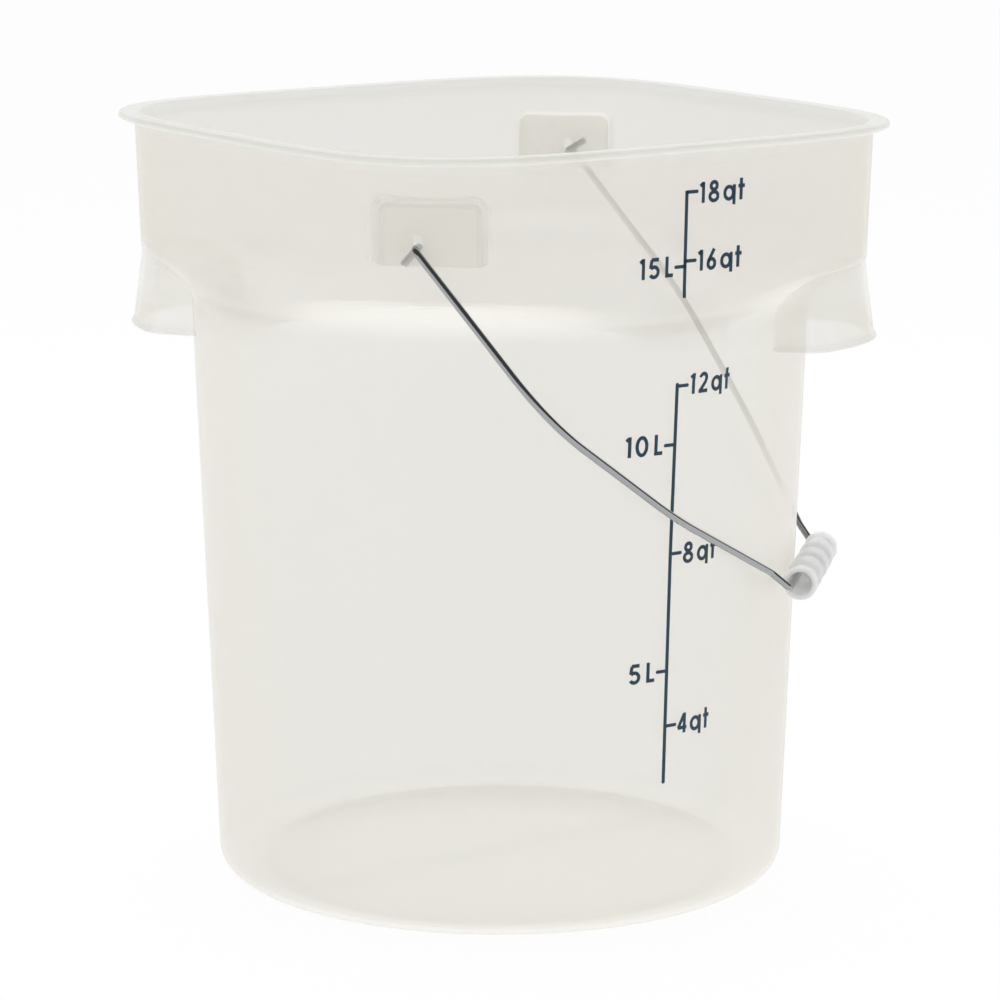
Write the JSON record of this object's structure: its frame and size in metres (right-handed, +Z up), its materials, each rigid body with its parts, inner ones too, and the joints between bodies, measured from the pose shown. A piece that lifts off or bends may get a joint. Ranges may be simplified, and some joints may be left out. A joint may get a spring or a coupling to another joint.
{
  "type": "food storage pail",
  "caption": "Round tapered plastic pail that opens out to a rounded square rim, with finger hoods, a hooked wire bail and a tubular hand grip.",
  "frame": {"origin": "centre of the base, on the surface that the pail stands on", "axes": "+Z up, +Y towards the back bail ear, +X towards the finger hood that the bail leans over at rest"},
  "size_m": [0.337, 0.3508, 0.334],
  "materials": {
    "natural_polypropylene": "translucent milky moulded surface",
    "plated_steel_wire": "bright zinc plated drawn wire",
    "white_polyethylene": "moulded, slightly glossy"
  },
  "bodies": {
    "pail": {"pail_body": "natural_polypropylene"},
    "bail": {"bail_wire": "plated_steel_wire"},
    "grip": {"hand_grip": "white_polyethylene"}
  },
  "joints": [
    {"name": "bail_swing", "type": "hinge", "parent": "pail", "child": "bail", "pos_m": [0, 0, 0.2989], "axis": [-0.0167, -0.9999, 0], "range_deg": [0, 278.4]},
    {"name": "grip_spin", "type": "hinge", "parent": "bail", "child": "grip", "pos_m": [0.13779, 0.00169, 0.13888], "axis": [0.0167, 0.9999, 0], "continuous": true}
  ]
}
